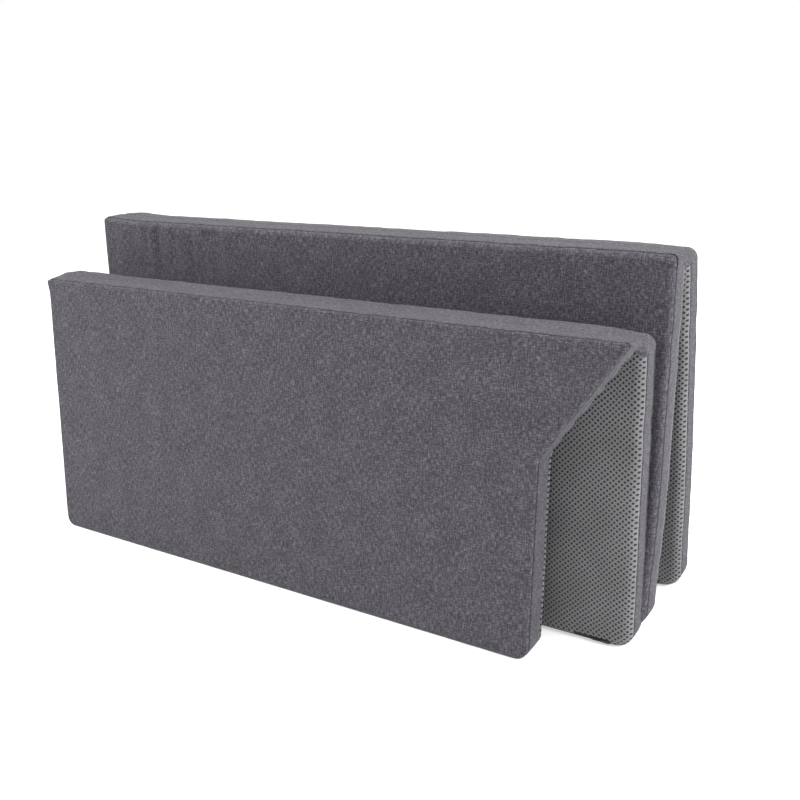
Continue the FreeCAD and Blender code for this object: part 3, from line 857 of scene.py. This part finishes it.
# A slider's blocks: (distance from its nose, shift along, lift, offset to both sides, half sizes)
SLIDER_BLOCKS = (
    (0.0055, 0.0, 0.0010, 0.0, (0.0052, 0.0038, 0.0003)),            # body
    (0.0055, 0.0, 0.0007, 0.0035, (0.0048, 0.0005, 0.0006)),         # flanges
    (0.0055, -0.0010, 0.0013, 0.0, (0.0030, 0.0010, 0.0002)),        # bridge
    (0.0185, 0.0, 0.0012, 0.0, (0.0084, 0.0024, 0.0002)),            # pull tab
    (0.0185, 0.0, 0.0013, 0.0021, (0.0080, 0.0003, 0.0003)),         # the tab's rims
)


def surface_tree(item):
    """A search tree over an object's mesh, for laying trim on it."""
    mesh = item.data
    points = [vertex.co.copy() for vertex in mesh.vertices]
    return BVHTree.FromPolygons(points, [tuple(polygon.vertices) for polygon in mesh.polygons])


def base_point(panel, tree, across, down):
    """The point and the outward normal of the base cloth at a place on a panel."""
    start = Vector(to_world(panel, np.array([[across, down, -RAY_START]]))[0])
    deep = panel["frame"][2]
    hit, normal, _, _ = tree.ray_cast(start, Vector((0, deep[0], deep[1])), 2 * RAY_START)
    if hit is None:
        hit = Vector(to_world(panel, np.array([[across, down, 0.0]]))[0])
        normal = Vector((0, -deep[0], -deep[1]))
    return hit, normal


def add_box(vertices, faces, centre, axes, half):
    """A small block with bevelled ends, given by its centre, three directions and half sizes."""
    start = len(vertices)
    for along_axis, shrink in ((-1, 0.6), (-0.55, 1), (0.55, 1), (1, 0.6)):
        for first, second in ((-1, -1), (1, -1), (1, 1), (-1, 1)):
            point = (centre + axes[0] * half[0] * along_axis + axes[1] * half[1] * first * shrink
                     + axes[2] * half[2] * second * shrink)
            vertices.append(tuple(point))
    for ring in range(3):
        for corner in range(4):
            after = (corner + 1) % 4
            low = start + ring * 4
            faces.append((low + corner, low + after, low + 4 + after, low + 4 + corner))
    faces.append((start + 3, start + 2, start + 1, start))
    faces.append((start + 12, start + 13, start + 14, start + 15))


def zip_line(number, panel):
    """Where a panel's zip runs: its left and right ends across, and its middle down the panel."""
    low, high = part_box(f"zip_{number}")
    corner = panel["frame"][0]
    down = panel["frame"][1]
    middle = ((low.z + high.z) / 2 - corner[1]) / down[1]
    return low.x - panel["centre"], high.x - panel["centre"], middle


def laid_strip(panel, tree, left, right, middle, section):
    """A strip laid on the base cloth along a zip's line from a section of (offset, height): its rings, their
    places and the section's texture heights."""
    places = np.arange(left, right, STRIP_STEP)
    rings = []
    for place in places:
        ring = []
        for offset, height in section:
            point, normal = base_point(panel, tree, place, middle + offset)
            ring.append(point + normal * height)
        rings.append(ring)
    return rings, places, [middle + offset for offset, _ in section + section[:1]]


def make_zip(number, panel, tree):
    """The zip: a woven tape sewn on the base cloth, with a coil of small teeth along its middle."""
    left, right, middle = zip_line(number, panel)
    vertices, faces, _ = swept(*laid_strip(panel, tree, left, right, middle, TAPE_SECTION))
    ends = tuple(range(len(vertices)))
    faces.append(ends[:len(TAPE_SECTION)])
    faces.append(ends[-len(TAPE_SECTION):][::-1])
    along_x = Vector((1, 0, 0))
    for index, place in enumerate(np.arange(left + ZIP_STOP, right - ZIP_STOP, TOOTH_PITCH)):
        side = TOOTH_OFFSET if index % 2 else -TOOTH_OFFSET
        point, normal = base_point(panel, tree, place, middle + side)
        axes = (normal.cross(along_x), along_x, normal)
        add_box(vertices, faces, point + normal * TOOTH_LIFT, axes, TOOTH_HALF)
    return solid(f"zip_trim_{number}", vertices, faces)


def make_flap(number, panel, tree):
    """The hem of dotted cloth that covers one half of the zip, up to a little before its slider. Panels 1
    and 3 have theirs on the other half, so that hems don't meet where panels close on each other."""
    left, right, middle = zip_line(number, panel)
    half = 1
    if number in (2, 4):
        right -= FLAP_SHORT
    else:
        left += FLAP_SHORT
        half = -1
    upper = tuple((half * offset, height) for offset, height in FLAP_TOP)
    section = upper + tuple((offset, height - FLAP_THICK) for offset, height in upper[::-1])
    rings, places, heights = laid_strip(panel, tree, left, right, middle, section)
    vertices, faces, texture = swept(rings, places, heights)
    end_places = [[(place, height) for height in heights[:-1]] for place in (places[0], places[-1])]
    close_ends(vertices, faces, texture, *end_places)
    return solid(f"zip_flap_{number}", vertices, faces, texture)


def make_slider(number, panel, tree):
    """The zip's slider: a flanged body, a bridge over it, and a pull tab with raised rims."""
    low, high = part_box(f"zip_slider_{number}")
    _, _, middle = zip_line(number, panel)
    towards = -1 if number in (2, 4) else 1
    nose = (high.x if towards < 0 else low.x) - panel["centre"]
    along_x = Vector((towards, 0, 0))
    vertices = []
    faces = []
    for start, along_offset, lift, side_offset, half in SLIDER_BLOCKS:
        point, normal = base_point(panel, tree, nose + towards * start, middle)
        across_zip = normal.cross(along_x)
        for side in ((-1, 1) if side_offset else (0,)):
            centre = point + normal * lift + across_zip * side * side_offset + along_x * along_offset
            add_box(vertices, faces, centre, (along_x, across_zip, normal), half)
    return solid(f"slider_{number}", vertices, faces)


# ---------------------------------------------------------------- materials
class Look:
    """A new material, with short ways to add the nodes that its cloth, metal or foam needs."""

    def __init__(self, name, roughness, specular=0.5, sheen=0.0):
        self.material = bpy.data.materials.new(name)
        self.material.use_nodes = True
        self.nodes = self.material.node_tree.nodes
        self.links = self.material.node_tree.links
        self.shader = self.nodes["Principled BSDF"]
        self.shader.inputs["Roughness"].default_value = roughness
        self.shader.inputs["Specular IOR Level"].default_value = specular
        self.shader.inputs["Sheen Weight"].default_value = sheen
        self.shader.inputs["Sheen Roughness"].default_value = 0.5

    def place(self, output="UV"):
        """Texture places: the cloth's own flat layout, or the object's coordinates."""
        return self.nodes.new("ShaderNodeTexCoord").outputs[output]

    def math(self, operation, first, second=None, clamp=False):
        """A Math node on sockets or plain numbers."""
        node = self.nodes.new("ShaderNodeMath")
        node.operation = operation
        node.use_clamp = clamp
        for index, value in enumerate((first, second)):
            if isinstance(value, (int, float)):
                node.inputs[index].default_value = value
            elif value is not None:
                self.links.new(value, node.inputs[index])
        return node.outputs[0]

    def noise(self, source, scale, detail=2.0, roughness=0.5):
        """Noise with a scale for each direction, in features per metre."""
        mapping = self.nodes.new("ShaderNodeMapping")
        mapping.inputs["Scale"].default_value = (scale[0], scale[1], 1)
        self.links.new(source, mapping.inputs["Vector"])
        noise = self.nodes.new("ShaderNodeTexNoise")
        noise.inputs["Scale"].default_value = 1.0
        noise.inputs["Detail"].default_value = detail
        noise.inputs["Roughness"].default_value = roughness
        self.links.new(mapping.outputs["Vector"], noise.inputs["Vector"])
        return noise.outputs["Fac"]

    def ramp(self, source, stops):
        """A colour ramp; each stop is (position, linear colour)."""
        node = self.nodes.new("ShaderNodeValToRGB")
        elements = node.color_ramp.elements
        while len(elements) > 1:
            elements.remove(elements[-1])
        for index, (position, colour) in enumerate(stops):
            element = elements[0] if index == 0 else elements.new(position)
            element.position = position
            element.color = (*colour, 1)
        self.links.new(source, node.inputs["Fac"])
        return node.outputs["Color"]

    def tint(self, mask, colour, over):
        """A colour laid over another where the mask is 1."""
        mix = self.nodes.new("ShaderNodeMix")
        mix.data_type = "RGBA"
        self.links.new(mask, mix.inputs["Factor"])
        self.links.new(over, mix.inputs["A"])
        mix.inputs["B"].default_value = (*colour, 1)
        return mix.outputs["Result"]

    def paint(self, colour):
        """Use a colour as the surface's own."""
        self.links.new(colour, self.shader.inputs["Base Color"])

    def bump(self, height, distance, strength, before=None):
        """A bump of a height field on the surface, in metres."""
        bump = self.nodes.new("ShaderNodeBump")
        bump.inputs["Strength"].default_value = strength
        bump.inputs["Distance"].default_value = distance
        self.links.new(height, bump.inputs["Height"])
        if before is not None:
            self.links.new(before, bump.inputs["Normal"])
        self.links.new(bump.outputs["Normal"], self.shader.inputs["Normal"])
        return bump.outputs["Normal"]


def zip_material():
    """Black nylon zip tape."""
    look = Look("black_zip_tape", 0.6, 0.3)
    threads = look.noise(look.place("Object"), (900, 900))
    look.paint(look.ramp(threads, TAPE_STOPS))
    look.bump(threads, 0.0003, 0.5)
    return look.material


def metal_material():
    """Black lacquered zinc, its tone varying at random as if worn."""
    look = Look("black_slider_metal", 0.38)
    wear = look.noise(look.place("Object"), (400, 400), 3.0, 0.6)
    look.paint(look.ramp(wear, METAL_STOPS))
    look.shader.inputs["Metallic"].default_value = 0.85
    look.bump(wear, 0.0002, 0.3)
    return look.material


def foam_material():
    """Pale open-cell foam."""
    look = Look("foam", 0.95)
    cells = look.noise(look.place(), (500, 500), 3.0, 0.7)
    look.paint(look.ramp(cells, FOAM_STOPS))
    look.bump(cells, 0.0008, 0.6)
    return look.material


def weave_height(look, uv):
    """The over-and-under of a plain weave as a height, one thread each way per pitch."""
    separate = look.nodes.new("ShaderNodeSeparateXYZ")
    look.links.new(uv, separate.inputs[0])
    waves = []
    for axis in ("X", "Y"):
        angle = look.math("MULTIPLY", separate.outputs[axis], math.pi / THREAD_PITCH)
        waves.append(look.math("SINE", angle))
    return look.math("ABSOLUTE", look.math("MULTIPLY", *waves))


def woven_material():
    """Charcoal melange upholstery cloth with slubs both ways; its seams carry their dark thread with painted
    groove shade.
    """
    look = Look("charcoal_melange", 0.88, 0.22, 0.05)
    uv = look.place()
    mixed = look.math("ADD", look.noise(uv, SLUBS_DOWN, 2.0, 0.6), look.noise(uv, SLUBS_ACROSS, 2.0, 0.6))
    mixed = look.math("ADD", mixed, look.math("MULTIPLY", look.noise(uv, GRAIN, 2.0, 0.7), GRAIN_SHARE))
    mixed = look.math("ADD", mixed, look.math("MULTIPLY", look.noise(uv, (30, 22)), PATCH_SHARE))
    shade = look.math("MULTIPLY", mixed, 1 / (2 + GRAIN_SHARE + PATCH_SHARE))
    # painted shade in the seams' grooves, together with their dark thread, laid over the melange
    seam = look.nodes.new("ShaderNodeAttribute")
    seam.attribute_name = "sunk"
    look.paint(look.tint(seam.outputs["Fac"], SEAM_THREAD_AND_SHADE, look.ramp(shade, WOVEN_STOPS)))
    threads = look.bump(weave_height(look, uv), 0.0003, 0.5)
    look.bump(shade, 0.0016, 0.55, before=threads)
    return look.material


def dot_mask(look, uv):
    """1 in the small round dots of the anti-slip cloth, on a square lattice turned by 45 degrees."""
    wobble = look.noise(uv, (38, 30), 1.0)
    shift = look.math("MULTIPLY", look.math("SUBTRACT", wobble, 0.5), DOT_WANDER)
    separate = look.nodes.new("ShaderNodeSeparateXYZ")
    look.links.new(uv, separate.inputs[0])
    places = [look.math("ADD", separate.outputs[axis], shift) for axis in ("X", "Y")]
    distances = []
    for start in (0.0, 0.5):
        squares = []
        for source in places:
            cell = look.math("ADD", look.math("MULTIPLY", source, 1 / DOT_PITCH), start)
            cell = look.math("SUBTRACT", look.math("FRACT", cell), 0.5)
            squares.append(look.math("MULTIPLY", cell, cell))
        distances.append(look.math("SQRT", look.math("ADD", *squares)))
    outside = look.math("SUBTRACT", DOT_RADIUS / DOT_PITCH, look.math("MINIMUM", *distances))
    return look.math("MULTIPLY_ADD", outside, DOT_PITCH / DOT_SOFT, clamp=True)


def dotted_material():
    """Grey anti-slip cloth with small dark rubber dots."""
    look = Look("dotted_anti_slip", 0.8, 0.25, 0.08)
    uv = look.place()
    grain = look.noise(uv, GRAIN, 3.0, 0.6)
    patches = look.math("MULTIPLY", look.noise(uv, (22, 16)), GROUND_PATCHES)
    shade = look.math("MULTIPLY", look.math("ADD", grain, patches), 1 / (1 + GROUND_PATCHES))
    mask = dot_mask(look, uv)
    look.paint(look.tint(mask, DOT_COLOUR, look.ramp(shade, GROUND_STOPS)))
    nap = look.bump(grain, 0.0006, 0.5)
    look.bump(mask, 0.0004, 0.6, before=nap)
    return look.material


# ---------------------------------------------------------------- the camera, the floor and the light
def add_camera():
    """The camera that looks down on the front left of the folded mattress."""
    yaw, pitch, roll = (math.radians(angle) for angle in CAMERA_TURN)
    forward = Vector((-math.sin(yaw) * math.cos(pitch), math.cos(yaw) * math.cos(pitch), -math.sin(pitch)))
    level = Vector((math.cos(yaw), math.sin(yaw), 0))
    upright = level.cross(forward)
    right = math.cos(roll) * level + math.sin(roll) * upright
    up = -math.sin(roll) * level + math.cos(roll) * upright
    data = bpy.data.cameras.new("camera")
    data.lens = CAMERA_LENS
    data.sensor_width = 36
    camera = bpy.data.objects.new("camera", data)
    bpy.context.scene.collection.objects.link(camera)
    turn = Matrix((right, up, -forward)).transposed().to_4x4()
    camera.matrix_world = Matrix.Translation(Vector(CAMERA_PLACE)) @ turn
    bpy.context.scene.camera = camera


def add_area(name, place, target, size, power):
    """A soft area light aimed at a point."""
    data = bpy.data.lights.new(name, "AREA")
    data.shape = "RECTANGLE"
    data.size, data.size_y = size
    data.energy = power
    light = bpy.data.objects.new(name, data)
    bpy.context.scene.collection.objects.link(light)
    direction = Vector(target) - Vector(place)
    light.location = place
    light.rotation_euler = direction.to_track_quat("-Z", "Y").to_euler()
    return light


def add_studio():
    """A white floor in a white room with soft light from the right, from above and from the front left."""
    vertices = [(-FLOOR_HALF, -FLOOR_HALF, 0), (FLOOR_HALF, -FLOOR_HALF, 0),
                (FLOOR_HALF, FLOOR_HALF, 0), (-FLOOR_HALF, FLOOR_HALF, 0)]
    floor = mesh_object("floor", vertices, [(0, 1, 2, 3)])
    look = Look("white_floor", 1.0, 0.0)
    look.shader.inputs["Base Color"].default_value = (FLOOR_WHITE, FLOOR_WHITE, FLOOR_WHITE, 1)
    look.shader.inputs["Emission Color"].default_value = (1, 1, 1, 1)
    look.shader.inputs["Emission Strength"].default_value = FLOOR_GLOW
    floor.data.materials.append(look.material)
    world = bpy.data.worlds.new("white_room")
    world.use_nodes = True
    background = world.node_tree.nodes["Background"]
    background.inputs["Color"].default_value = (1, 1, 1, 1)
    background.inputs["Strength"].default_value = ROOM_STRENGTH
    bpy.context.scene.world = world
    for name, place, target, size, power in LIGHTS:
        add_area(name, place, target, size, power)
    bpy.context.scene.view_settings.view_transform = "Standard"


# ---------------------------------------------------------------- build
def dress(item, look, nodes):
    """Give a piece its material, and hide the CAD nodes that it stands for."""
    item.data.materials.clear()
    item.data.materials.append(look)
    item.data.polygons.foreach_set("material_index", [0] * len(item.data.polygons))
    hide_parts(*nodes)


add_camera()
add_studio()
woven = woven_material()
dotted = dotted_material()
foam = foam_material()
tape = zip_material()
metal = metal_material()
for number, panel in PANELS.items():
    cover = make_pad(number, panel)
    base_cloth = make_base_cloth(number, cover)
    core = make_core(number, panel)
    tree = surface_tree(base_cloth)
    for item, look, slot, nodes in (
            (cover, woven, "woven_cloth", (f"top_cover_{number}", f"boxing_{number}")),
            (base_cloth, dotted, "dotted_cloth", (f"base_cover_{number}",)),
            (core, foam, "foam", (f"foam_core_{number}",)),
            (make_zip(number, panel, tree), tape, "zip_tape", (f"zip_{number}",)),
            (make_flap(number, panel, tree), dotted, "dotted_cloth", ()),
            (make_slider(number, panel, tree), metal, "zip_metal", (f"zip_slider_{number}",))):
        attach(item, f"panel_{number}")
        dress(item, look, nodes)

for item, node, bodies, axis, half in (
        (make_top_web("front_fold_web", PANELS[1], PANELS[2], FRONT_RISE),
         "front_fold_tape", ("panel_1", "panel_2"), FRONT_AXIS, TOP_BEND),
        (make_top_web("rear_fold_web", PANELS[3], PANELS[4], REAR_RISE),
         "rear_fold_tape", ("panel_3", "panel_4"), REAR_AXIS, TOP_BEND),
        (make_floor_web("floor_fold_web"),
         "middle_fold_tape", ("panel_2", "panel_3"), FLOOR_AXIS, FLOOR_BEND)):
    dress(item, woven, (node,))
    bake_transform(item)
